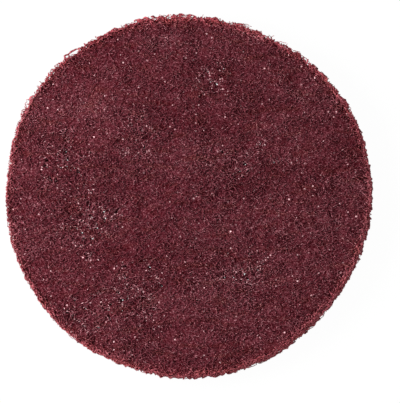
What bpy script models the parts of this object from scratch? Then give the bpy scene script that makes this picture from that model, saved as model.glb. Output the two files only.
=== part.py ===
"""A non-woven polishing disc: one springy web of curly nylon fibre, coated with resin and
fine grit, and cut round with a die. It lies on its lower face, centred on the origin.

Lengths are in metres, +Z is up."""

import math
import random

import bmesh
import bpy
from mathutils import Vector, noise

# Overall size of the disc.
DISC_DIAMETER = 0.125
WEB_THICKNESS = 0.0095

# The web's two faces: tufts of fibre with pits between them, on a slower swell of the loft.
TUFT_ROWS = 26  # rows of tufts from the middle to the rim
TUFT_DEPTH = 0.0017  # from the tops of the tufts down to the pits
TUFT_LENGTH = 0.0044  # from one tuft to the next
TUFT_MEAN = 0.14  # mean depth of a face as a share of that; less leaves more tops pressed flat
CURL_DEPTH = 0.0005  # how far a single curl stands above or below its tuft
LOFT_DEPTH = 0.0007  # how much thinner the web gets where it has less fibre
LOFT_LENGTH = 0.021  # from one such place to the next
STRAY_SHIFT = 0.0006  # how far a tuft lies from its place in an even pattern
REST_SPOT = 0.006  # radius of the flat spot under the middle, where the disc's weight lies

# The rim, where the die pinched the web's edges and left short cut ends standing out.
RIM_TEETH = 330  # cut ends around the rim
TOOTH_DEPTH = 0.0013  # from the furthest cut ends in to the cut
RIM_WANDER = 0.0004  # how far the soft web moved under the die
EDGE_PINCH = 0.0009  # how far the edges are drawn in and down
WALL_ROWS = (0.33, 0.67)  # heights of the rows of cut ends, as shares of the thickness
WALL_STRAY = 0.0007  # how far a cut end lies above or below its row

# The gaps that show light through the web. Each is a pit from above and one from below that
# meet halfway, and each gap is bounded by three strands.
GAP_WAIST = 0.0013  # side of the opening where the two pits meet
SOUND_RIM = 0.0036  # width of the outer band that has no gap
THIN_DIP = 0.0009  # how much the faces sink where the web is thin

# Where the web is thin: the angle and distance from the middle as a share of the radius, then
# the radius of the place in metres and how many gaps it holds.
THIN_PLACES = (
    (196, 0.58, 0.011, 26),
    (163, 0.70, 0.010, 14),
    (244, 0.63, 0.012, 22),
    (229, 0.86, 0.008, 10),
    (78, 0.66, 0.007, 8),
    (310, 0.54, 0.009, 10),
    (20, 0.35, 0.012, 8),
    (122, 0.38, 0.010, 8),
)

# Which tufts, curls and cut ends this disc has.
SEED = 11
TUFT_FIELD = 5.0
LOFT_FIELD = 9.0
WANDER_FIELD = 1.7

# Looks of the plain model, read as the photograph's mean colour.
WEB_COLOUR = (0.112, 0.026, 0.033, 1.0)
WEB_ROUGHNESS = 0.8

UP, DOWN = 1, -1


def clearScene():
    for found in list(bpy.data.objects):
        bpy.data.objects.remove(found, do_unlink=True)


def polar(angle, radius):
    return Vector((radius * math.cos(angle), radius * math.sin(angle)))


def discRadius():
    return DISC_DIAMETER / 2


def thinness(place):
    """1 in the middle of a thin place, falling to 0 outside it."""
    most = 0.0
    for degrees, share, radius, _ in THIN_PLACES:
        middle = polar(math.radians(degrees), share * discRadius())
        away = (place - middle).length / radius
        most = max(most, math.exp(-away * away))
    return most


def sinkAt(place, side, curl):
    """How far a face lies below the tallest tufts at one place. The tops are pressed flat."""
    x, y = place
    tuft = noise.noise(Vector((x / TUFT_LENGTH, y / TUFT_LENGTH, TUFT_FIELD * side)))
    loft = noise.noise(Vector((x / LOFT_LENGTH, y / LOFT_LENGTH, LOFT_FIELD * side)))
    sink = TUFT_DEPTH * (TUFT_MEAN - tuft) - LOFT_DEPTH * loft - curl
    return max(0.0, sink) + THIN_DIP * thinness(place)


def faceHeight(place, side, curl):
    sink = sinkAt(place, side, curl)
    if side == UP:
        return WEB_THICKNESS - sink
    return 0.0 if place.length < REST_SPOT else sink


def rimRadius(angle):
    """The die's circle, as the soft web sprang back from it."""
    turn = Vector((math.cos(angle), math.sin(angle), 0.0))
    return discRadius() + RIM_WANDER * noise.noise(WANDER_FIELD * turn)


def tuftRing(mesh, row, side, dice):
    """One ring of tufts, six more than the ring inside it."""
    count = 6 * row
    reach = (discRadius() - EDGE_PINCH - TOOTH_DEPTH) * row / TUFT_ROWS
    ring = []
    for step in range(count):
        place = polar(2 * math.pi * step / count, reach)
        place += Vector((dice.uniform(-1, 1), dice.uniform(-1, 1))) * STRAY_SHIFT
        height = faceHeight(place, side, dice.uniform(-1, 1) * CURL_DEPTH)
        ring.append(mesh.verts.new((place.x, place.y, height)))
    return ring


def edgeRing(mesh, side, dice):
    """The cut edge of a face, pinched in and down by the die."""
    ring = []
    for step in range(RIM_TEETH):
        angle = 2 * math.pi * step / RIM_TEETH
        bite = TOOTH_DEPTH * dice.random()
        place = polar(angle, rimRadius(angle) - EDGE_PINCH - bite)
        height = faceHeight(place, side, 0.0)
        height -= side * EDGE_PINCH * dice.uniform(0.3, 1.0)
        ring.append(mesh.verts.new((place.x, place.y, height)))
    return ring


def wallRing(mesh, share, dice):
    """Cut ends along the side wall, at a share of the web's thickness."""
    ring = []
    for step in range(RIM_TEETH):
        angle = 2 * math.pi * (step + dice.uniform(-0.3, 0.3)) / RIM_TEETH
        bite = TOOTH_DEPTH * dice.random() ** 1.5
        place = polar(angle, rimRadius(angle) - bite)
        height = WEB_THICKNESS * share + WALL_STRAY * dice.uniform(-1, 1)
        ring.append(mesh.verts.new((place.x, place.y, height)))
    return ring


def trianglesBetween(inner, outer):
    """Corner triples that join two rings, counter-clockwise as seen from above."""
    triples = []
    i = j = 0
    while i < len(inner) or j < len(outer):
        near = inner[i % len(inner)]
        far = outer[j % len(outer)]
        if (j + 1) * len(inner) <= (i + 1) * len(outer):
            triples.append((near, far, outer[(j + 1) % len(outer)]))
            j += 1
        else:
            triples.append((near, far, inner[(i + 1) % len(inner)]))
            i += 1
    return triples


def faceTriples(mesh, side, dice):
    """A whole face as corner triples, and its outer ring."""
    middle = mesh.verts.new((0.0, 0.0, faceHeight(Vector((0.0, 0.0)), side, 0.0)))
    rings = [tuftRing(mesh, row, side, dice) for row in range(1, TUFT_ROWS)]
    rings.append(edgeRing(mesh, side, dice))
    first = rings[0]
    triples = [(middle, first[i], first[(i + 1) % len(first)]) for i in range(len(first))]
    for inner, outer in zip(rings, rings[1:]):
        triples += trianglesBetween(inner, outer)
    return triples, rings[-1]


def centreOf(corners):
    total = Vector((0.0, 0.0, 0.0))
    for corner in corners:
        total += corner.co
    return total / len(corners)


def chooseGaps(triples, dice):
    """The triangles that are left open, none of them beside another or at the rim."""
    centres = [centreOf(corners).xy for corners in triples]
    owners = {}
    for index, corners in enumerate(triples):
        for a, b in zip(corners, corners[1:] + corners[:1]):
            owners.setdefault(frozenset((a, b)), set()).add(index)
    sound = discRadius() - SOUND_RIM
    inside = {i for i in range(len(triples)) if centres[i].length < sound}
    chosen = set()
    for degrees, share, radius, count in THIN_PLACES:
        middle = polar(math.radians(degrees), share * discRadius())
        for _ in range(count):
            aim = middle + polar(dice.uniform(0, 2 * math.pi), radius * dice.random() ** 0.7)
            nearest = min(sorted(inside), key=lambda i: (centres[i] - aim).length)
            chosen.add(nearest)
            for a, b in zip(triples[nearest], triples[nearest][1:] + triples[nearest][:1]):
                inside -= owners[frozenset((a, b))]
    return chosen


def openGap(mesh, above, below):
    """Walls of one gap, from three corners above through the narrow waist to three below."""
    middle = (centreOf(above) + centreOf(below)) / 2
    waist = []
    for top, bottom in zip(above, below):
        out = ((top.co + bottom.co) / 2 - middle).normalized()
        waist.append(mesh.verts.new(middle + out * GAP_WAIST / math.sqrt(3)))
    for i in range(3):
        j = (i + 1) % 3
        mesh.faces.new((above[i], above[j], waist[j], waist[i]))
        mesh.faces.new((waist[i], waist[j], below[j], below[i]))


def joinWall(mesh, rings):
    """The side wall, from the lower edge ring up to the upper one."""
    for low, high in zip(rings, rings[1:]):
        for i in range(len(low)):
            j = (i + 1) % len(low)
            mesh.faces.new((low[i], low[j], high[j]))
            mesh.faces.new((low[i], high[j], high[i]))


def centreOnOrigin(mesh):
    """Moves the ragged outline so that its box is centred on the origin."""
    xs = [vert.co.x for vert in mesh.verts]
    ys = [vert.co.y for vert in mesh.verts]
    shift = Vector((-(min(xs) + max(xs)) / 2, -(min(ys) + max(ys)) / 2, 0.0))
    bmesh.ops.translate(mesh, verts=mesh.verts, vec=shift)


def webMesh():
    dice = random.Random(SEED)
    mesh = bmesh.new()
    top, topEdge = faceTriples(mesh, UP, dice)
    bottom, bottomEdge = faceTriples(mesh, DOWN, dice)
    gaps = chooseGaps(top, dice)
    for index, (above, below) in enumerate(zip(top, bottom)):
        if index in gaps:
            openGap(mesh, above, below)
            continue
        mesh.faces.new(above)
        mesh.faces.new(below[::-1])
    wall = [wallRing(mesh, share, dice) for share in WALL_ROWS]
    joinWall(mesh, [bottomEdge, *wall, topEdge])
    bmesh.ops.triangulate(mesh, faces=mesh.faces)
    bmesh.ops.recalc_face_normals(mesh, faces=mesh.faces)
    centreOnOrigin(mesh)
    made = bpy.data.meshes.new("fibre_web")
    mesh.to_mesh(made)
    mesh.free()
    return made


def webMaterial():
    made = bpy.data.materials.new("grit-coated nylon web")
    made.use_nodes = True
    shader = made.node_tree.nodes["Principled BSDF"]
    shader.inputs["Base Color"].default_value = WEB_COLOUR
    shader.inputs["Roughness"].default_value = WEB_ROUGHNESS
    shader.inputs["Metallic"].default_value = 0.0
    made.diffuse_color = WEB_COLOUR
    return made


def makeDisc():
    mesh = webMesh()
    mesh.materials.append(webMaterial())
    disc = bpy.data.objects.new("fibre_web", mesh)
    bpy.context.scene.collection.objects.link(disc)
    mesh.shade_smooth()
    mesh.set_sharp_from_angle(angle=math.radians(35))
    return disc


clearScene()
makeDisc()
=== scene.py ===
# Looks of a non-woven polishing disc: curly nylon fibres with a maroon resin and grit coat.
# The disc lies on its lower face, centred on the origin. Lengths are in metres.
import math

import bmesh
import bpy
from mathutils import Matrix, Vector


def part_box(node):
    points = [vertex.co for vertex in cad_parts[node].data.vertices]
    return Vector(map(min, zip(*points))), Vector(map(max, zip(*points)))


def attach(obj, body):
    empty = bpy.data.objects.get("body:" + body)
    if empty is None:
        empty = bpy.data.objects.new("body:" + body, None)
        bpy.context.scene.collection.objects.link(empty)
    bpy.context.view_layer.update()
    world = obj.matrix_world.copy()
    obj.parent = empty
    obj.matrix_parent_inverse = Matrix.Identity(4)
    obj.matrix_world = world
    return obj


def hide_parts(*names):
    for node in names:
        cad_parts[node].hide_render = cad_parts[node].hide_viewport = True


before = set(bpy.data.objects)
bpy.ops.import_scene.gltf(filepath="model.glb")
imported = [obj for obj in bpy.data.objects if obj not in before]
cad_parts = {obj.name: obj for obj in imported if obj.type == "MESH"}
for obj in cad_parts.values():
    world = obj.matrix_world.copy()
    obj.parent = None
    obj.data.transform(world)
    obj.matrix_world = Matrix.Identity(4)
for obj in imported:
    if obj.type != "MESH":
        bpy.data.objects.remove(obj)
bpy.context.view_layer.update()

nodeName = "fibre_web"
mm = 0.001

# The disc as the frame gives it
lowCorner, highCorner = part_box(nodeName)
discRadius = (highCorner.x - lowCorner.x + highCorner.y - lowCorner.y) / 4
webHeight = highCorner.z

# Where the photograph was taken from, and how the disc lies in it
shot = {
    "lean": math.radians(11),  # from straight above
    "leanTowards": math.radians(-55),  # round from image right, which is +X
    "distance": 0.8,  # from the camera to the disc
    "imageSize": (400, 403),  # pixels
    "discCentre": (186.8, 194.4),  # pixels, from the upper left corner
    "pixel": 0.3405 * mm,  # length that one pixel covers at the disc
}
towardsCamera = Vector((
    math.sin(shot["lean"]) * math.cos(shot["leanTowards"]),
    math.sin(shot["lean"]) * math.sin(shot["leanTowards"]),
    math.cos(shot["lean"]),
))
sight = towardsCamera / towardsCamera.z  # how far the line of sight goes aside for each metre up

# Settings of the Math, Vector Math and other nodes
plus = {"operation": "ADD"}
minus = {"operation": "SUBTRACT"}
times = {"operation": "MULTIPLY"}
timesPlus = {"operation": "MULTIPLY_ADD"}
over = {"operation": "DIVIDE"}
plain = {"operation": "ABSOLUTE"}
root = {"operation": "SQRT"}
least = {"operation": "MINIMUM"}
most = {"operation": "MAXIMUM"}
above = {"operation": "GREATER_THAN"}
below = {"operation": "LESS_THAN"}
sine = {"operation": "SINE"}
cosine = {"operation": "COSINE"}
scaled = {"operation": "SCALE"}
length = {"operation": "LENGTH"}
unit = {"operation": "NORMALIZE"}
dot = {"operation": "DOT_PRODUCT"}
smooth = {"interpolation_type": "SMOOTHSTEP"}
multiplied = {"data_type": "RGBA", "blend_type": "MULTIPLY"}


def linear(hexColour):
    # sRGB hex to the linear values that sockets take
    parts = [int(hexColour[i:i + 2], 16) / 255 for i in (1, 3, 5)]
    return [c / 12.92 if c <= 0.04045 else ((c + 0.055) / 1.055) ** 2.4 for c in parts] + [1.0]


def addNode(tree, kind, settings=None, links=None):
    # links: an input's number or name, and the socket or the value that it takes
    node = tree.nodes.new(kind)
    for name, value in (settings or {}).items():
        setattr(node, name, value)
    for place, value in (links or {}).items():
        if isinstance(value, bpy.types.NodeSocket):
            tree.links.new(value, node.inputs[place])
        else:
            node.inputs[place].default_value = value
    return node


def newMaterial(name):
    made = bpy.data.materials.new(name)
    made.use_nodes = True
    made.node_tree.nodes.clear()
    return made


# The resin and grit coat. Both materials read what the trees store at each point: how deep in
# the web it lies, for painted shade, how thin the web is there, how much painted light the cut gives
# it, and its strand's own tone.
coat = {
    "drawnOut": (0.9, 1.15, 1.0),  # squeezes the patterns' coordinates along X, Y and Z
    "streaked": (0.45, 1.5, 1.0),  # the same for the patches, which lie in streaks across
    "deepest": 3.0 * mm,  # below this the web is in full shade
    "crossing": 0.8 * mm,  # from one crossing of strands to the next
    "clumpSize": 0.32 * mm,  # grit and resin; really finer, drawn coarser so that it shows
    "clumpShare": 0.5,  # how much of the pattern is clumps; the rest is crossings
    "rustLength": 4.0 * mm,  # the coat is browner in patches
    "rustFrom": (0.5, 0.75),  # how high the patches' pattern must be, for a little and for all
    "rust": "#F2E8D6",  # multiplies the coat's colour in them
    "loftLength": 16.0 * mm,  # the web is looser in patches, and lighter there
    "loftLight": 0.36,  # how much lighter, from the darkest patch to the lightest
    "strandLight": 0.2,  # how much one strand's tone differs from another's
    "cutLight": 0.36,  # painted light: fibres at the cut drawn brighter, as if lit through and from the side
    "litCutTint": "#FFB4BA",  # multiplies the coat's colour there: painted redder light through the fibres
    "thinLight": 0.05,  # where the web is thin, light comes through from below
    "gapLight": 0.6,  # and more right round the gaps
    "gapLightFrom": 0.92,  # how thin the web must be for that
    "grainGlint": "#FFCCD0",  # a painted glint off a grain of grit, drawn larger than life so that it shows
    "grainRadius": 0.35 * mm,
    "grainCore": 0.7,  # how much of that radius is bright right through
    "grainApart": 0.9 * mm,  # from one grain to the next, most of them too dull to show
    "grainShare": (0.032, 0.36),  # how many are bright, in sound web and where it is thin
    "ior": 1.53,  # nylon's
}


def coatColour(tree, looks):
    # The coat's colour and its clumps. Crossings and clumps break it up, and painted shade makes it
    # darker deep in the web. The patterns are drawn out across the picture, as the web was when it was
    # laid.
    place = addNode(tree, "ShaderNodeTexCoord").outputs["Object"]
    drawn = addNode(tree, "ShaderNodeVectorMath", times, {
        0: place, 1: coat["drawnOut"]}).outputs[0]
    streaked = addNode(tree, "ShaderNodeVectorMath", times, {
        0: place, 1: coat["streaked"]}).outputs[0]
    deep, strand, atCut, thin = [
        addNode(tree, "ShaderNodeAttribute", {"attribute_name": name}).outputs["Fac"]
        for name in ("deep", "strandTone", "atCut", "thin")]

    crossings = addNode(tree, "ShaderNodeTexGabor", {"gabor_type": "3D"}, {
        "Vector": drawn, "Scale": 1 / coat["crossing"], "Frequency": 1.0,
        "Anisotropy": 0.0}).outputs["Value"]
    clumps = addNode(tree, "ShaderNodeTexNoise", None, {
        "Vector": drawn, "Scale": 1 / coat["clumpSize"], "Detail": 1.0}).outputs["Fac"]
    pattern = addNode(tree, "ShaderNodeMix", {"data_type": "FLOAT"}, {
        0: coat["clumpShare"], 2: crossings, 3: clumps}).outputs[0]
    nearGap = addNode(tree, "ShaderNodeMapRange", None, {
        0: thin, 1: coat["gapLightFrom"], 4: coat["gapLight"]}).outputs[0]
    loft = addNode(tree, "ShaderNodeTexNoise", None, {
        "Vector": streaked, "Scale": 1 / coat["loftLength"], "Detail": 2.0}).outputs["Fac"]
    loft = addNode(tree, "ShaderNodeMapRange", {"clamp": False}, {
        0: loft, 3: -coat["loftLight"] / 2, 4: coat["loftLight"] / 2}).outputs[0]

    # The tone, from 0 to 1, takes its colour from the looks' stops
    base = looks["tone"] - looks["contrast"] / 2
    # Painted shade: the tone falls deep in the web
    tone = addNode(tree, "ShaderNodeMapRange", None, {
        0: deep, 2: coat["deepest"], 3: base, 4: base - looks["shade"]}).outputs[0]
    # The pattern and each strand's own tone move it; painted light raises it at the cut, where the web
    # is thin and more round the gaps; the loose patches move it too
    for amount, light in ((pattern, looks["contrast"]), (strand, coat["strandLight"]),
                          (atCut, coat["cutLight"]), (thin, coat["thinLight"])):
        tone = addNode(tree, "ShaderNodeMath", timesPlus, {
            0: amount, 1: light, 2: tone}).outputs[0]
    for light in (nearGap, loft):
        tone = addNode(tree, "ShaderNodeMath", plus, {0: tone, 1: light}).outputs[0]
    ramp = addNode(tree, "ShaderNodeValToRGB", None, {"Fac": tone})
    stops = looks["stops"]
    ramp.color_ramp.elements[0].color = linear(stops[0][1])
    ramp.color_ramp.elements[1].color = linear(stops[-1][1])
    for where, colour in stops[1:-1]:
        ramp.color_ramp.elements.new(where).color = linear(colour)

    patches = addNode(tree, "ShaderNodeTexNoise", None, {
        "Vector": streaked, "Scale": 1 / coat["rustLength"], "Detail": 2.0}).outputs["Fac"]
    brown = addNode(tree, "ShaderNodeMapRange", None, {
        0: patches, 1: coat["rustFrom"][0], 2: coat["rustFrom"][1]}).outputs[0]
    colour = ramp.outputs["Color"]
    # Rust browns it in patches, and painted light reddens it at the cut
    for share, tint in ((brown, coat["rust"]), (atCut, coat["litCutTint"])):
        colour = addNode(tree, "ShaderNodeMix", multiplied, {
            0: share, 6: colour, 7: linear(tint)}).outputs[2]
    return withGrainGlints(tree, colour, place, thin), clumps


def withGrainGlints(tree, colour, place, thin):
    # Painted glints off grains of grit, more of them where the web is thin, as painted light through
    # tiny gaps
    cells = addNode(tree, "ShaderNodeTexVoronoi", None, {
        "Vector": place, "Scale": 1 / coat["grainApart"]}).outputs
    chance, glint, _ = addNode(tree, "ShaderNodeSeparateXYZ", None, {0: cells["Color"]}).outputs
    share = addNode(tree, "ShaderNodeMapRange", None, {
        0: thin, 3: coat["grainShare"][0], 4: coat["grainShare"][1]}).outputs[0]
    chosen = addNode(tree, "ShaderNodeMath", below, {0: chance, 1: share}).outputs[0]
    glint = addNode(tree, "ShaderNodeMath", times, {0: glint, 1: chosen}).outputs[0]
    radius = coat["grainRadius"] / coat["grainApart"]
    grainGlint = addNode(tree, "ShaderNodeMapRange", None, {
        0: cells["Distance"], 1: radius, 2: coat["grainCore"] * radius, 4: glint}).outputs[0]
    return addNode(tree, "ShaderNodeMix", {"data_type": "RGBA"}, {
        0: grainGlint, 6: colour, 7: linear(coat["grainGlint"])}).outputs[2]


def coatedNylon(name, looks):
    made = newMaterial(name)
    tree = made.node_tree
    colour, clumps = coatColour(tree, looks)
    relief = addNode(tree, "ShaderNodeBump", None, {
        "Height": clumps, "Distance": looks["clumpHeight"]}).outputs[0]
    shader = addNode(tree, "ShaderNodeBsdfPrincipled", None, {
        "Base Color": colour, "Normal": relief, "Roughness": looks["roughness"],
        "IOR": coat["ior"], "Specular IOR Level": looks["shine"]})
    addNode(tree, "ShaderNodeOutputMaterial", None, {"Surface": shader.outputs[0]})
    return made


# The single fibres: nearly matte resin and grit, which catch a little light
fibreLooks = {
    "stops": ((0.0, "#3D030A"), (0.4, "#5D242D"), (0.75, "#81444D"), (1.0, "#B98289")),
    "tone": 0.47,  # the middle tone, where the web isn't deep
    "contrast": 3.0,  # how far the pattern could take it, from its lowest to its highest
    "shade": 0.3,  # how much darker painted shade makes it with depth
    "clumpHeight": 0.08 * mm,
    "roughness": 0.5,
    "shine": 0.03,
}

# The same fibre further down, packed closer and out of the light: strands over strands, matte
depthLooks = {
    "stops": ((0.0, "#380309"), (0.45, "#58232C"), (0.8, "#7B434B"), (1.0, "#A9767C")),
    "tone": 0.45,
    "contrast": 3.1,
    "shade": 0.2,
    "clumpHeight": 0.35 * mm,
    "roughness": 0.9,
    "shine": 0.02,
}

print("materials")
fibreMaterial = coatedNylon("resin and grit on nylon fibre", fibreLooks)
depthMaterial = coatedNylon("nylon fibre mat in the shade", depthLooks)

# The cut round the rim. The web gave way unevenly under the die and sprang back
cut = {
    "reach": discRadius + 0.5 * mm,  # the furthest ends
    "frayedSide": math.radians(92),  # which way from the middle it is frayed most
    "stray": 1.5 * mm,  # how far the ends vary there
    "oppositeShare": 0.4,  # how frayed it is opposite, as a share of that
    "leastShare": 0.12,  # and where it is cleanest
    "scallop": 1.3 * mm,  # how deep the die's bites are on the frayed side
    "scallopLength": 2.6 * mm,  # from one bite to the next
    "scallopFrom": (0.3, 0.7),  # how high their pattern must be, for none and for a whole bite
    "litCutReach": 4.2 * mm,  # how far in from the cut the painted light reaches
    "litCutShare": 0.6,  # and how strong it is where the cut is clean
    # where the outline swells (or draws in): direction in degrees, how far, half the width
    "swells": ((12, 0.4 * mm, 36), (72, -0.55 * mm, 40), (121, 1.35 * mm, 50), (150, 0.7 * mm, 30),
               (190, -0.7 * mm, 50), (251, -0.4 * mm, 20), (280, 0.5 * mm, 35),
               (315, -0.35 * mm, 30), (331, 0.25 * mm, 15)),
}


def swellAt(angle):
    # The same swells as cutLine puts in the trees, with the smooth step of their Map Range
    total = 0.0
    for degrees, out, width in cut["swells"]:
        edge = math.cos(math.radians(width))
        share = (math.cos(angle - math.radians(degrees)) - edge) / (1 - edge)
        share = max(0.0, share)
        total += out * share * share * (3 - 2 * share)
    return total


# The deeper web: the frame's solid drawn in a little, with its gaps made narrower
depth = {
    "weld": 0.001 * mm,  # corners of the frame's triangles this near are one
    "drawIn": 1.0 * mm,  # how far it lies below the tufts
    "drawInRound": 0.5 * mm,  # how far behind the cut ends
    "drawInFrayed": 1.6 * mm,  # how much further on the frayed side
    "flatten": 0.6,  # how much of its pits the fibres fill
    "level": 1,  # how often its faces are divided
    "ridge": 1.1 * mm,  # height of the curly ridges on it
    "ridgeLength": 1.7 * mm,  # from one ridge to the next
    "thinReach": 3.5 * mm,  # how far round a gap the web is thin
    "waistSize": 0.52,  # the gaps' narrow waists, as shares of the solid's
    "waistPlace": 0.69,  # and how high they lie, as a share of the web's height
    "waistShift": 0.15 * mm,  # towards the camera, so that light shows through them
    "waistBand": 0.22,  # how far from halfway up a waist is looked for, as a share of the height
    "soundRim": 3.2 * mm,  # width of the outer band that has no gap
}


def deeperWeb():
    work = bmesh.new()
    work.from_mesh(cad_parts[nodeName].data)
    bmesh.ops.remove_doubles(work, verts=work.verts, dist=depth["weld"])
    mesh = bpy.data.meshes.new("web_depth")
    work.to_mesh(mesh)
    work.free()
    for corner in mesh.vertices:
        share = 2 * corner.co.z / webHeight - 1  # -1 at the lower face, 1 at the upper
        share *= 1 + depth["flatten"] * (1 - abs(share))
        angle = math.atan2(corner.co.y, corner.co.x)
        frayed = max(0.0, math.cos(angle - cut["frayedSide"]))
        drawIn = depth["drawInRound"] + depth["drawInFrayed"] * frayed - swellAt(angle)
        corner.co.xy *= 1 - drawIn / discRadius
        corner.co.z = webHeight / 2 + share * (webHeight / 2 - depth["drawIn"])
    piece = bpy.data.objects.new("web_depth", mesh)
    bpy.context.scene.collection.objects.link(piece)
    return piece


def narrowGaps(mesh):
    # The gaps' waists are the only corners halfway down the web, three to a gap. They are drawn
    # together, and each gap's place is given where the line of sight passes halfway down.
    waists = {}
    for corner in mesh.vertices:
        halfway = abs(corner.co.z - webHeight / 2) < depth["waistBand"] * webHeight
        if halfway and corner.co.xy.length < discRadius - depth["soundRim"]:
            waists[corner.index] = {corner.index}
    for edge in mesh.edges:
        a, b = edge.vertices
        if a in waists and b in waists:
            waists[a].add(b)
            waists[b].add(a)
    rise = (depth["waistPlace"] - 0.5) * webHeight
    places = []
    for ring in sorted({tuple(sorted(ring)) for ring in waists.values() if len(ring) == 3}):
        corners = [mesh.vertices[index] for index in ring]
        centre = sum((corner.co for corner in corners), Vector((0, 0, 0))) / 3
        middle = Vector((centre.x, centre.y, webHeight / 2 + rise))
        middle += Vector((sight.x, sight.y, 0)).normalized() * depth["waistShift"]
        for corner in corners:
            corner.co = middle + (corner.co - centre) * depth["waistSize"]
        places.append((middle.x - sight.x * rise, middle.y - sight.y * rise, 0.0))
    return places


# Inputs that both trees have
webInputs = {
    "Web height": "Float", "Gaps": "Object", "Thin reach": "Float", "Cut radius": "Float",
    "Cut reach": "Float", "Stray": "Float", "Frayed side": "Vector", "Scallop": "Float",
    "Scallop length": "Float", "Finish": "Material",
}


def newTree(name, inputs):
    tree = bpy.data.node_groups.new(name, "GeometryNodeTree")
    tree.interface.new_socket("Geometry", in_out="INPUT", socket_type="NodeSocketGeometry")
    for label, kind in inputs.items():
        tree.interface.new_socket(label, in_out="INPUT", socket_type="NodeSocket" + kind)
    tree.interface.new_socket("Geometry", in_out="OUTPUT", socket_type="NodeSocketGeometry")
    return tree, addNode(tree, "NodeGroupInput").outputs


def finishTree(tree, geometry, material):
    shaded = addNode(tree, "GeometryNodeSetShadeSmooth", None, {0: geometry}).outputs[0]
    real = addNode(tree, "GeometryNodeRealizeInstances", None, {0: shaded}).outputs[0]
    done = addNode(tree, "GeometryNodeSetMaterial", None, {0: real, 2: material}).outputs[0]
    addNode(tree, "NodeGroupOutput", None, {0: done})


def cutLine(tree, outwards, given):
    # How far out the die cut, how far the ends stray within that, and how frayed the rim is. The
    # cut is scalloped, most on the frayed side, less opposite it and least in between.
    frayed = addNode(tree, "ShaderNodeVectorMath", dot, {
        0: outwards, 1: given["Frayed side"]}).outputs[1]
    opposite = addNode(tree, "ShaderNodeMath", times, {
        0: frayed, 1: -cut["oppositeShare"]}).outputs[0]
    frayed = addNode(tree, "ShaderNodeMath", most, {0: frayed, 1: opposite}).outputs[0]
    frayed = addNode(tree, "ShaderNodeMapRange", None, {0: frayed, 3: cut["leastShare"]}).outputs[0]
    fray = addNode(tree, "ShaderNodeMath", times, {0: frayed, 1: given["Stray"]}).outputs[0]
    onCut = addNode(tree, "ShaderNodeVectorMath", scaled, {
        0: outwards, "Scale": given["Cut radius"]}).outputs[0]
    often = addNode(tree, "ShaderNodeMath", over, {0: 1.0, 1: given["Scallop length"]}).outputs[0]
    scallop = addNode(tree, "ShaderNodeTexNoise", None, {
        "Vector": onCut, "Scale": often, "Detail": 2.0}).outputs["Fac"]
    scallop = addNode(tree, "ShaderNodeMapRange", None, {
        0: scallop, 1: cut["scallopFrom"][0], 2: cut["scallopFrom"][1]}).outputs[0]
    scallop = addNode(tree, "ShaderNodeMath", times, {0: scallop, 1: frayed}).outputs[0]
    scallop = addNode(tree, "ShaderNodeMath", times, {0: scallop, 1: given["Scallop"]}).outputs[0]
    die = addNode(tree, "ShaderNodeMath", minus, {0: given["Cut radius"], 1: scallop}).outputs[0]
    for degrees, out, width in cut["swells"]:
        way = (math.cos(math.radians(degrees)), math.sin(math.radians(degrees)), 0.0)
        near = addNode(tree, "ShaderNodeVectorMath", dot, {0: outwards, 1: way}).outputs[1]
        swell = addNode(tree, "ShaderNodeMapRange", smooth, {
            0: near, 1: math.cos(math.radians(width)), 2: 1.0, 4: out}).outputs[0]
        die = addNode(tree, "ShaderNodeMath", plus, {0: die, 1: swell}).outputs[0]
    return die, fray, frayed


def toNearestGap(tree, given, place):
    gaps = addNode(tree, "GeometryNodeObjectInfo", None, {"Object": given["Gaps"]}).outputs["Geometry"]
    return addNode(tree, "GeometryNodeProximity", {"target_element": "POINTS"}, {
        0: gaps, "Sample Position": place}).outputs["Distance"]


def storeDepth(tree, geometry, given, others=()):
    # Stores how deep in the web each point lies, how thin the web is there, how much painted light
    # the cut gives it, and the other values given: name, kind and value
    here = addNode(tree, "GeometryNodeInputPosition").outputs[0]
    x, y, z = addNode(tree, "ShaderNodeSeparateXYZ", None, {0: here}).outputs[:3]
    flat = addNode(tree, "ShaderNodeCombineXYZ", None, {0: x, 1: y}).outputs[0]
    reach = addNode(tree, "ShaderNodeVectorMath", length, {0: flat}).outputs[1]
    fromTop = addNode(tree, "ShaderNodeMath", minus, {0: given["Web height"], 1: z}).outputs[0]
    outwards = addNode(tree, "ShaderNodeVectorMath", unit, {0: flat}).outputs[0]
    die, fray, frayed = cutLine(tree, outwards, given)
    rim = addNode(tree, "ShaderNodeMath", minus, {0: die, 1: fray}).outputs[0]
    fromRim = addNode(tree, "ShaderNodeMath", minus, {0: rim, 1: reach}).outputs[0]
    deep = addNode(tree, "ShaderNodeMath", least, {0: fromTop, 1: z}).outputs[0]
    deep = addNode(tree, "ShaderNodeMath", least, {0: deep, 1: fromRim}).outputs[0]
    thin = addNode(tree, "ShaderNodeMapRange", smooth, {
        0: toNearestGap(tree, given, flat), 1: given["Thin reach"], 2: 0.0}).outputs[0]
    # Painted light at the cut, weaker where the cut is clean
    litCutStrength = addNode(tree, "ShaderNodeMapRange", None, {0: frayed, 3: cut["litCutShare"]}).outputs[0]
    atCut = addNode(tree, "ShaderNodeMapRange", smooth, {
        0: fromRim, 1: given["Cut reach"], 2: 0.0, 4: litCutStrength}).outputs[0]
    for name, kind, value in (("deep", "FLOAT", deep), ("thin", "FLOAT", thin),
                              ("atCut", "FLOAT", atCut), *others):
        geometry = addNode(tree, "GeometryNodeStoreNamedAttribute", {
            "data_type": kind, "domain": "POINT"}, {
            0: geometry, "Name": name, "Value": value}).outputs[0]
    return geometry


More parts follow.
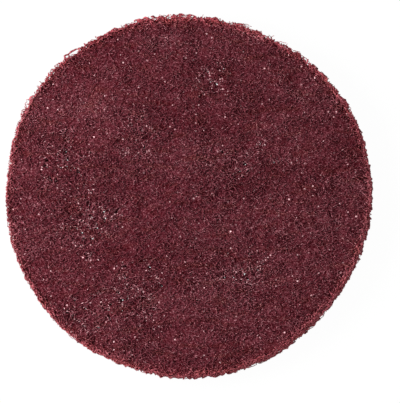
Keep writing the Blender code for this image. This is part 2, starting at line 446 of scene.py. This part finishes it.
def ridgeTree():
    # Finer faces with curly ridges on them
    tree, given = newTree("strand ridges", {
        "Level": "Int", "Ridge": "Float", "Ridge length": "Float", **webInputs})
    finer = addNode(tree, "GeometryNodeSubdivideMesh", None, {
        0: given["Geometry"], 1: given["Level"]}).outputs[0]
    often = addNode(tree, "ShaderNodeMath", over, {0: 1.0, 1: given["Ridge length"]}).outputs[0]
    swirl = addNode(tree, "ShaderNodeTexNoise", None, {"Scale": often, "Detail": 1.0}).outputs["Fac"]
    away = addNode(tree, "ShaderNodeMath", minus, {0: swirl, 1: 0.5}).outputs[0]
    height = addNode(tree, "ShaderNodeMath", times, {0: away, 1: given["Ridge"]}).outputs[0]
    normal = addNode(tree, "GeometryNodeInputNormal").outputs[0]
    shift = addNode(tree, "ShaderNodeVectorMath", scaled, {0: normal, "Scale": height}).outputs[0]
    moved = addNode(tree, "GeometryNodeSetPosition", None, {0: finer, "Offset": shift}).outputs[0]
    finishTree(tree, storeDepth(tree, moved, given), given["Finish"])
    return tree


# How each fibre runs
fibres = {
    "step": 0.6 * mm,  # from one point of a fibre to the next
    "fewestPoints": 4,  # a shorter piece of fibre falls out
    "crimp": 2.6 * mm,  # how far it winds up and down
    "drawnOut": (1.2, 0.85, 0.0),  # stretches it across the picture, as the web was laid
    "gapClearance": 0.18 * mm,  # how far its middle stays from the line of sight through a gap
    "cutShare": 0.5,  # how many end at the cut; the others turn back from it
    "faceClearance": 1.5,  # how far within the faces the rim's turn back, in fibre radii
    "bendStrength": 7.0,  # how tightly it curls
    "blobSize": 2.2,  # how much thicker or thinner the resin makes it
    # how many bends, windings and blobs a metre, and where along the noise each is read from
    "bends": (420.0, 0.0),
    "windings": (800.0, 11.3),
    "blobs": (900.0, 23.9),
    # what sets one fibre apart from the next, and one layer from the next
    "noiseApart": 31.7,  # from one fibre's stretch of the noise to the next one's
    "layerShift": 0.137,  # a layer's shift along the noise, in such stretches
    "layerNumbers": 10007.0,  # how far apart the layers' fibre numbers lie
    "layerTurn": 0.37,  # a layer's turn, in golden angles
    "firstSeed": 20,  # which web this is
}
goldenAngle = math.pi * (3 - math.sqrt(5))


def fibrePoints(tree, given):
    # Which fibre a point is on, how far along, and what chance gives that fibre
    index = addNode(tree, "GeometryNodeInputIndex").outputs[0]
    fibre = addNode(tree, "FunctionNodeIntegerMath", {"operation": "DIVIDE_FLOOR"}, {
        0: index, 1: given["Points"]}).outputs[0]
    step = addNode(tree, "FunctionNodeIntegerMath", {"operation": "MODULO"}, {
        0: index, 1: given["Points"]}).outputs[0]
    along = addNode(tree, "ShaderNodeMath", times, {0: step, 1: given["Step"]}).outputs[0]
    start = addNode(tree, "ShaderNodeMath", timesPlus, {
        0: given["Seed"], 1: fibres["layerShift"], 2: fibre}).outputs[0]
    start = addNode(tree, "ShaderNodeMath", times, {
        0: start, 1: fibres["noiseApart"]}).outputs[0]
    identity = addNode(tree, "ShaderNodeMath", timesPlus, {
        0: given["Seed"], 1: fibres["layerNumbers"], 2: fibre}).outputs[0]
    point = {"fibre": fibre, "step": step, "along": along, "start": start}
    for seed, (name, low, high) in enumerate((
            ("heading", 0.0, 2 * math.pi), ("level", given["Low"], given["High"]),
            ("up", 0.0, given["Web height"]), ("stray", 0.0, 1.0), ("tone", 0.0, 1.0),
            ("turnsBack", 0.0, 1.0))):
        point[name] = addNode(tree, "FunctionNodeRandomValue", {"data_type": "FLOAT"}, {
            2: low, 3: high, "ID": identity, "Seed": seed}).outputs[1]
    return point


def driftAlong(tree, point, drift):
    # Smooth chance along each fibre, from about -0.5 to 0.5
    often, readFrom = drift
    w = addNode(tree, "ShaderNodeMath", timesPlus, {
        0: point["along"], 1: often, 2: point["start"]}).outputs[0]
    w = addNode(tree, "ShaderNodeMath", plus, {0: w, 1: readFrom}).outputs[0]
    wave = addNode(tree, "ShaderNodeTexNoise", {"noise_dimensions": "1D"}, {
        "W": w, "Scale": 1.0, "Detail": 1.0}).outputs["Fac"]
    return addNode(tree, "ShaderNodeMath", minus, {0: wave, 1: 0.5}).outputs[0]


def wayTo(tree, angle):
    x = addNode(tree, "ShaderNodeMath", cosine, {0: angle}).outputs[0]
    y = addNode(tree, "ShaderNodeMath", sine, {0: angle}).outputs[0]
    return addNode(tree, "ShaderNodeCombineXYZ", None, {0: x, 1: y}).outputs[0]


def wanderAlong(tree, given, point):
    # How far a fibre has wandered at each point. It curls one way, then the other
    bend = driftAlong(tree, point, fibres["bends"])
    turn = addNode(tree, "ShaderNodeMath", over, {0: given["Step"], 1: given["Curl"]}).outputs[0]
    turn = addNode(tree, "ShaderNodeMath", times, {0: turn, 1: bend}).outputs[0]
    turn = addNode(tree, "ShaderNodeMath", times, {
        0: turn, 1: fibres["bendStrength"]}).outputs[0]
    turned = addNode(tree, "GeometryNodeAccumulateField", {"data_type": "FLOAT"}, {
        0: turn, 1: point["fibre"]}).outputs[0]
    heading = addNode(tree, "ShaderNodeMath", plus, {0: turned, 1: point["heading"]}).outputs[0]
    stepXY = addNode(tree, "ShaderNodeVectorMath", scaled, {
        0: wayTo(tree, heading), "Scale": given["Step"]}).outputs[0]
    wander = addNode(tree, "GeometryNodeAccumulateField", {"data_type": "FLOAT_VECTOR"}, {
        0: stepXY, 1: point["fibre"]}).outputs[0]
    return addNode(tree, "ShaderNodeVectorMath", times, {
        0: wander, 1: given["Drawn out"]}).outputs[0]


def startPlace(tree, given, point):
    # Starting places are spread evenly, each a golden angle round from the last
    angle = addNode(tree, "ShaderNodeMath", timesPlus, {
        0: given["Seed"], 1: fibres["layerTurn"], 2: point["fibre"]}).outputs[0]
    angle = addNode(tree, "ShaderNodeMath", times, {0: angle, 1: goldenAngle}).outputs[0]
    share = addNode(tree, "ShaderNodeMath", plus, {0: point["fibre"], 1: 0.5}).outputs[0]
    share = addNode(tree, "ShaderNodeMath", over, {0: share, 1: given["Fibres"]}).outputs[0]
    share = addNode(tree, "ShaderNodeMapRange", None, {
        0: share, 3: given["Inner share"]}).outputs[0]
    share = addNode(tree, "ShaderNodeMath", root, {0: share}).outputs[0]
    reach = addNode(tree, "ShaderNodeMath", times, {0: share, 1: given["Cut radius"]}).outputs[0]
    return angle, addNode(tree, "ShaderNodeVectorMath", scaled, {
        0: wayTo(tree, angle), "Scale": reach}).outputs[0]


def placeOverFace(tree, point, faceXY, outwards, level, die, fray):
    # Over a face, fibres end at the cut or turn back from it, and few stand out furthest
    faceReach = addNode(tree, "ShaderNodeVectorMath", length, {0: faceXY}).outputs[1]
    stray = addNode(tree, "ShaderNodeMath", root, {0: point["stray"]}).outputs[0]
    stray = addNode(tree, "ShaderNodeMath", times, {0: stray, 1: fray}).outputs[0]
    end = addNode(tree, "ShaderNodeMath", minus, {0: die, 1: stray}).outputs[0]
    past = addNode(tree, "ShaderNodeMath", minus, {0: faceReach, 1: end}).outputs[0]
    pastSize = addNode(tree, "ShaderNodeMath", plain, {0: past}).outputs[0]
    folded = addNode(tree, "ShaderNodeMath", minus, {0: end, 1: pastSize}).outputs[0]
    turnsBack = addNode(tree, "ShaderNodeMath", above, {
        0: point["turnsBack"], 1: fibres["cutShare"]}).outputs[0]
    reach = addNode(tree, "GeometryNodeSwitch", {"input_type": "FLOAT"}, {
        0: turnsBack, 1: faceReach, 2: folded}).outputs[0]
    flat = addNode(tree, "ShaderNodeVectorMath", scaled, {0: outwards, "Scale": reach}).outputs[0]
    upright = addNode(tree, "ShaderNodeCombineXYZ", None, {2: level}).outputs[0]
    place = addNode(tree, "ShaderNodeVectorMath", plus, {0: flat, 1: upright}).outputs[0]
    return place, addNode(tree, "ShaderNodeMath", minus, {0: reach, 1: end}).outputs[0]


def placeRoundRim(tree, given, point, rimWay, climbed, level, die, fray):
    # Round the rim, fibres lie behind the frayed ends, and turn back at each face
    inwards = addNode(tree, "ShaderNodeMath", plain, {0: level}).outputs[0]
    inwards = addNode(tree, "ShaderNodeMath", plus, {0: inwards, 1: given["Fibre radius"]}).outputs[0]
    inwards = addNode(tree, "ShaderNodeMath", plus, {0: inwards, 1: fray}).outputs[0]
    reach = addNode(tree, "ShaderNodeMath", minus, {0: die, 1: inwards}).outputs[0]
    climb = addNode(tree, "ShaderNodeMath", plus, {0: climbed, 1: point["up"]}).outputs[0]
    edge = addNode(tree, "ShaderNodeMath", times, {
        0: given["Fibre radius"], 1: fibres["faceClearance"]}).outputs[0]
    wall = addNode(tree, "ShaderNodeMath", timesPlus, {
        0: edge, 1: -2.0, 2: given["Web height"]}).outputs[0]
    climb = addNode(tree, "ShaderNodeMath", {"operation": "PINGPONG"}, {0: climb, 1: wall}).outputs[0]
    climb = addNode(tree, "ShaderNodeMath", plus, {0: climb, 1: edge}).outputs[0]
    flat = addNode(tree, "ShaderNodeVectorMath", scaled, {0: rimWay, "Scale": reach}).outputs[0]
    climb = addNode(tree, "ShaderNodeCombineXYZ", None, {2: climb}).outputs[0]
    return addNode(tree, "ShaderNodeVectorMath", plus, {0: flat, 1: climb}).outputs[0]


def standsInGap(tree, given):
    # Whether a point stands in a gap, along the line of sight
    here = addNode(tree, "GeometryNodeInputPosition").outputs[0]
    height = addNode(tree, "ShaderNodeSeparateXYZ", None, {0: here}).outputs[2]
    half = addNode(tree, "ShaderNodeMath", times, {0: given["Web height"], 1: 0.5}).outputs[0]
    lift = addNode(tree, "ShaderNodeMath", minus, {0: height, 1: half}).outputs[0]
    slide = addNode(tree, "ShaderNodeVectorMath", scaled, {
        0: given["Sight"], "Scale": lift}).outputs[0]
    slid = addNode(tree, "ShaderNodeVectorMath", minus, {0: here, 1: slide}).outputs[0]
    slid = addNode(tree, "ShaderNodeVectorMath", times, {0: slid, 1: (1.0, 1.0, 0.0)}).outputs[0]
    return addNode(tree, "ShaderNodeMath", below, {
        0: toNearestGap(tree, given, slid), 1: given["Gap clearance"]}).outputs[0]


def joinedToTubes(tree, given, geometry, lost):
    # The lost points go, then whatever pieces of fibre are too short, and the rest become tubes
    left = addNode(tree, "GeometryNodeDeleteGeometry", {"domain": "POINT"}, {
        0: geometry, 1: lost}).outputs[0]
    run = addNode(tree, "GeometryNodeInputNamedAttribute", {"data_type": "INT"}, {
        0: "run"}).outputs[0]
    runPoints = addNode(tree, "GeometryNodeAccumulateField", {"data_type": "INT"}, {
        0: 1, 1: run}).outputs[2]
    short = addNode(tree, "ShaderNodeMath", below, {
        0: runPoints, 1: fibres["fewestPoints"] - 0.5}).outputs[0]
    left = addNode(tree, "GeometryNodeDeleteGeometry", {"domain": "POINT"}, {
        0: left, 1: short}).outputs[0]
    curves = addNode(tree, "GeometryNodePointsToCurves", None, {0: left, 1: run}).outputs[0]
    thick = addNode(tree, "GeometryNodeInputNamedAttribute", {"data_type": "FLOAT"}, {
        0: "thick"}).outputs[0]
    section = addNode(tree, "GeometryNodeCurvePrimitiveCircle", {"mode": "RADIUS"}, {
        "Resolution": 3, "Radius": given["Fibre radius"]}).outputs[0]
    return addNode(tree, "GeometryNodeCurveToMesh", None, {
        0: curves, 1: section, "Scale": thick, "Fill Caps": True}).outputs[0]


def fibreTree():
    # Curly fibres that wander through a layer and end, or turn back, where the die cut them.
    # Round rim off: over a face, between two heights. On: round the rim, between two depths.
    tree, given = newTree("curly fibres", {
        "Fibres": "Int", "Points": "Int", "Step": "Float", "Curl": "Float", "Crimp": "Float",
        "Drawn out": "Vector", "Low": "Float", "High": "Float", "Round rim": "Bool",
        "Fibre radius": "Float", "Gap clearance": "Float", "Sight": "Vector",
        "Inner share": "Float", "Seed": "Int", **webInputs})
    point = fibrePoints(tree, given)
    wander = wanderAlong(tree, given, point)
    crimp = driftAlong(tree, point, fibres["windings"])
    crimp = addNode(tree, "ShaderNodeMath", times, {0: crimp, 1: given["Crimp"]}).outputs[0]
    level = addNode(tree, "ShaderNodeMath", plus, {0: crimp, 1: point["level"]}).outputs[0]
    startAngle, startXY = startPlace(tree, given, point)
    faceXY = addNode(tree, "ShaderNodeVectorMath", plus, {0: startXY, 1: wander}).outputs[0]

    # Which way the point lies from the middle. Round the rim a fibre wanders along and up it
    wanderX, wanderY = addNode(tree, "ShaderNodeSeparateXYZ", None, {0: wander}).outputs[:2]
    rimAngle = addNode(tree, "ShaderNodeMath", over, {0: wanderX, 1: given["Cut radius"]}).outputs[0]
    rimAngle = addNode(tree, "ShaderNodeMath", plus, {0: rimAngle, 1: startAngle}).outputs[0]
    rimWay = wayTo(tree, rimAngle)
    faceWay = addNode(tree, "ShaderNodeVectorMath", unit, {0: faceXY}).outputs[0]
    outwards = addNode(tree, "GeometryNodeSwitch", {"input_type": "VECTOR"}, {
        0: given["Round rim"], 1: faceWay, 2: rimWay}).outputs[0]

    die, fray, _ = cutLine(tree, outwards, given)
    facePlace, pastCut = placeOverFace(tree, point, faceXY, outwards, level, die, fray)
    rimPlace = placeRoundRim(tree, given, point, rimWay, wanderY, level, die, fray)
    place = addNode(tree, "GeometryNodeSwitch", {"input_type": "VECTOR"}, {
        0: given["Round rim"], 1: facePlace, 2: rimPlace}).outputs[0]
    pastCut = addNode(tree, "GeometryNodeSwitch", {"input_type": "FLOAT"}, {
        0: given["Round rim"], 1: pastCut, 2: -1.0}).outputs[0]
    count = addNode(tree, "ShaderNodeMath", times, {0: given["Fibres"], 1: given["Points"]}).outputs[0]
    points = addNode(tree, "GeometryNodePoints", None, {0: count}).outputs[0]
    laid = addNode(tree, "GeometryNodeSetPosition", None, {0: points, "Position": place}).outputs[0]

    # Points past the cut or in a gap are lost, and a new run of fibre starts after each
    beyond = addNode(tree, "ShaderNodeMath", above, {0: pastCut, 1: 0.0}).outputs[0]
    lost = addNode(tree, "ShaderNodeMath", most, {
        0: beyond, 1: standsInGap(tree, given)}).outputs[0]
    first = addNode(tree, "ShaderNodeMath", below, {0: point["step"], 1: 0.5}).outputs[0]
    breaks = addNode(tree, "ShaderNodeMath", most, {0: lost, 1: first}).outputs[0]
    run = addNode(tree, "GeometryNodeAccumulateField", {"data_type": "INT"}, {0: breaks}).outputs[0]
    thick = driftAlong(tree, point, fibres["blobs"])
    thick = addNode(tree, "ShaderNodeMath", timesPlus, {
        0: thick, 1: fibres["blobSize"], 2: 1.0}).outputs[0]
    geometry = storeDepth(tree, laid, given, (
        ("run", "INT", run), ("strandTone", "FLOAT", point["tone"]), ("thick", "FLOAT", thick)))
    finishTree(tree, joinedToTubes(tree, given, geometry, lost), given["Finish"])
    return tree


def runTree(piece, tree, values):
    # Gives the piece the mesh that the tree makes, with no modifier left on it
    work = piece.modifiers.new("work", "NODES")
    work.node_group = tree
    for item in tree.interface.items_tree:
        if item.in_out == "INPUT" and item.name in values:
            work[item.identifier] = values[item.name]
    bpy.context.view_layer.update()
    graph = bpy.context.evaluated_depsgraph_get()
    made = bpy.data.meshes.new_from_object(piece.evaluated_get(graph), depsgraph=graph)
    piece.modifiers.remove(work)
    piece.data = made
    made.name = piece.name
    print("  ", piece.name, "triangles", sum(len(face.vertices) - 2 for face in made.polygons))


print("deeper web")
webDepth = deeperWeb()
gapMesh = bpy.data.meshes.new("gap_places")
gapMesh.from_pydata(narrowGaps(webDepth.data), [], [])
gapPlaces = bpy.data.objects.new("gap_places", gapMesh)
bpy.context.scene.collection.objects.link(gapPlaces)
print("  gaps", len(gapMesh.vertices))
web = {
    "Web height": webHeight, "Gaps": gapPlaces, "Thin reach": depth["thinReach"],
    "Cut radius": cut["reach"], "Cut reach": cut["litCutReach"], "Stray": cut["stray"],
    "Frayed side": (math.cos(cut["frayedSide"]), math.sin(cut["frayedSide"]), 0.0),
    "Scallop": cut["scallop"], "Scallop length": cut["scallopLength"],
}
runTree(webDepth, ridgeTree(), web | {
    "Level": depth["level"], "Ridge": depth["ridge"], "Ridge length": depth["ridgeLength"],
    "Finish": depthMaterial})

print("fibres")

# Kinds of fibre: points in one, its radius, the radius of its curls, and the share of the disc's
# area, from the middle out, in which none starts. Those at the edge are drawn thicker than life,
# so that they show against the white.
face = {"points": 40, "radius": 0.13 * mm, "curl": 0.85 * mm, "inner": 0.0, "roundRim": False}
rim = {"points": 24, "radius": 0.2 * mm, "curl": 1.1 * mm, "inner": 0.0, "roundRim": True}
edge = {"points": 14, "radius": 0.36 * mm, "curl": 1.25 * mm, "inner": 0.93, "roundRim": False}
top = webHeight
layers = {
    # name: kind, how many, and the lowest and highest they lie (round the rim, how far in)
    "web_fibres_top_a": (face, 830, top - 1.6 * mm, top - 0.9 * mm),
    "web_fibres_top_b": (face, 830, top - 1.4 * mm, top - 0.8 * mm),
    "web_fibres_top_c": (face, 830, top - 1.3 * mm, top - 0.7 * mm),
    "web_fibres_under": (face, 800, 0.8 * mm, 1.6 * mm),
    "web_fibres_rim": (rim, 700, 0.1 * mm, 1.4 * mm),
    "web_fibres_edge": (edge, 1300, 1.2 * mm, top - 0.9 * mm),
}
fibreNodes = fibreTree()
pieces = [webDepth]
for seed, (name, (kind, count, low, high)) in enumerate(layers.items(), fibres["firstSeed"]):
    piece = bpy.data.objects.new(name, bpy.data.meshes.new(name))
    bpy.context.scene.collection.objects.link(piece)
    runTree(piece, fibreNodes, web | {
        "Fibres": count, "Points": kind["points"], "Step": fibres["step"], "Curl": kind["curl"],
        "Crimp": fibres["crimp"], "Drawn out": fibres["drawnOut"], "Low": low, "High": high,
        "Round rim": kind["roundRim"], "Fibre radius": kind["radius"],
        "Gap clearance": fibres["gapClearance"], "Sight": (sight.x, sight.y, 0.0),
        "Inner share": kind["inner"], "Seed": seed, "Finish": fibreMaterial})
    pieces.append(piece)
bpy.data.objects.remove(gapPlaces)

for piece in pieces:
    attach(piece, "root")
    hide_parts(nodeName)

# The white table that the disc lies on
table = {
    "side": 6.0,
    "below": 0.05 * mm,  # how far under the disc it lies
    "paper": "#F4F4F4",  # what it is to the light and the shadow
    "whiteShare": 0.97,  # how much of it is plain white to the camera; the rest takes the shadow
}


def makeTable():
    made = newMaterial("white table")
    tree = made.node_tree
    ray = addNode(tree, "ShaderNodeLightPath").outputs
    seen = addNode(tree, "ShaderNodeMath", most, {
        0: ray["Is Camera Ray"], 1: ray["Is Glossy Ray"]}).outputs[0]
    seen = addNode(tree, "ShaderNodeMath", most, {0: seen, 1: ray["Is Transmission Ray"]}).outputs[0]
    share = addNode(tree, "ShaderNodeMath", times, {0: seen, 1: table["whiteShare"]}).outputs[0]
    paper = addNode(tree, "ShaderNodeBsdfDiffuse", None, {"Color": linear(table["paper"])}).outputs[0]
    white = addNode(tree, "ShaderNodeEmission", None, {
        "Color": (1, 1, 1, 1), "Strength": 1.0}).outputs[0]
    both = addNode(tree, "ShaderNodeMixShader", None, {0: share, 1: paper, 2: white}).outputs[0]
    addNode(tree, "ShaderNodeOutputMaterial", None, {"Surface": both})
    half = table["side"] / 2
    mesh = bpy.data.meshes.new("floor")
    mesh.from_pydata([(-half, -half, -table["below"]), (half, -half, -table["below"]),
                      (half, half, -table["below"]), (-half, half, -table["below"])], [],
                     [(0, 1, 2, 3)])
    mesh.materials.append(made)
    floor = bpy.data.objects.new("floor", mesh)
    bpy.context.scene.collection.objects.link(floor)


# A broad lamp to the left and a white room
studio = {
    "keyPlace": (-0.34, 0.01, 0.27),
    "keySize": 0.26,
    "keyPower": 3.1,  # watts
    "sky": 0.63,  # the room's light, as a share of plain white
}


def makeLights():
    light = bpy.data.lights.new("key", "AREA")
    light.shape = "DISK"
    light.size = studio["keySize"]
    light.energy = studio["keyPower"]
    key = bpy.data.objects.new("key", light)
    key.location = studio["keyPlace"]
    key.rotation_euler = Vector(studio["keyPlace"]).to_track_quat("Z", "Y").to_euler()
    bpy.context.scene.collection.objects.link(key)
    world = bpy.data.worlds.new("studio")
    world.use_nodes = True
    tree = world.node_tree
    tree.nodes.clear()
    ray = addNode(tree, "ShaderNodeLightPath").outputs
    soft = addNode(tree, "ShaderNodeBackground", None, {
        "Color": (1, 1, 1, 1), "Strength": studio["sky"]}).outputs[0]
    white = addNode(tree, "ShaderNodeBackground", None, {
        "Color": (1, 1, 1, 1), "Strength": 1.0}).outputs[0]
    both = addNode(tree, "ShaderNodeMixShader", None, {
        0: ray["Is Camera Ray"], 1: soft, 2: white}).outputs[0]
    addNode(tree, "ShaderNodeOutputWorld", None, {"Surface": both})
    bpy.context.scene.world = world


def makeCamera():
    width, height = shot["imageSize"]
    data = bpy.data.cameras.new("camera")
    data.lens = data.sensor_width * shot["distance"] / (max(width, height) * shot["pixel"])
    camera = bpy.data.objects.new("camera", data)
    right = Vector((0, 1, 0)).cross(towardsCamera).normalized()
    up = towardsCamera.cross(right)
    aside = (width / 2 - shot["discCentre"][0]) * shot["pixel"]
    lower = (height / 2 - shot["discCentre"][1]) * shot["pixel"]
    aim = Vector((0, 0, webHeight / 2)) + right * aside - up * lower
    turn = Matrix((right, up, towardsCamera)).transposed().to_4x4()
    camera.matrix_world = Matrix.Translation(aim + towardsCamera * shot["distance"]) @ turn
    bpy.context.scene.collection.objects.link(camera)
    bpy.context.scene.camera = camera


print("floor, lights and camera")
makeTable()
makeLights()
makeCamera()
bpy.context.scene.view_settings.view_transform = "Standard"
